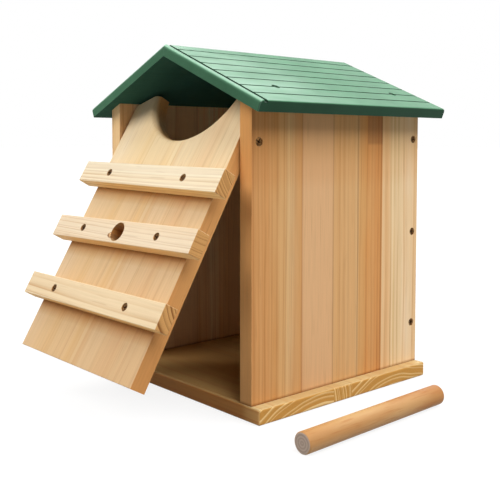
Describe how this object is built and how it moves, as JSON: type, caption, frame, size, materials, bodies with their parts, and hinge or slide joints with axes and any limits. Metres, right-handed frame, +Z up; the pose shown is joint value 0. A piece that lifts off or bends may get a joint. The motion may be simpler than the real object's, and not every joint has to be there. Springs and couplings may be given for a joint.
{
  "type": "owl nest box",
  "caption": "Wooden nest box with a grooved gable roof, a top-hung swinging front with a scooped entrance and cross battens, and a loose round perch.",
  "frame": {"origin": "on the ground, at the middle of the base board's underside", "axes": "+Z up; -Y is the front with the door; +X is the right side as seen from the front"},
  "size_m": [0.3283, 0.3504, 0.3306],
  "materials": {
    "pine": "bare planed pine",
    "perch_wood": "bare turned dowel",
    "green_roof": "green paint, satin",
    "screw_steel": "bronze-toned plating",
    "painted_screw": "green paint over the heads"
  },
  "bodies": {
    "box": {"base_board": "pine", "left_side_panel": "pine", "right_side_panel": "pine", "back_panel": "pine", "left_roof_panel": "green_roof", "right_roof_panel": "green_roof", "left_wall_screws": "screw_steel", "right_wall_screws": "screw_steel", "left_roof_screws": "painted_screw", "right_roof_screws": "painted_screw", "left_base_screws": "screw_steel", "right_base_screws": "screw_steel", "back_base_screws": "screw_steel"},
    "door": {"door_panel": "pine", "upper_batten": "pine", "middle_batten": "pine", "lower_batten": "pine", "left_pivot_screw": "screw_steel", "right_pivot_screw": "screw_steel", "upper_batten_screws": "screw_steel", "middle_batten_screws": "screw_steel", "lower_batten_screws": "screw_steel"},
    "perch": {"perch_dowel": "perch_wood"}
  },
  "joints": [
    {"name": "door_swing", "type": "hinge", "parent": "box", "child": "door", "pos_m": [0, -0.105, 0.2404], "axis": [-1, 0, 0], "range_deg": [-29.75, 86.5]},
    {"name": "perch_lift", "type": "slide", "parent": "box", "child": "perch", "axis": [0, 0, 1], "range_m": [0, 0.15]}
  ]
}
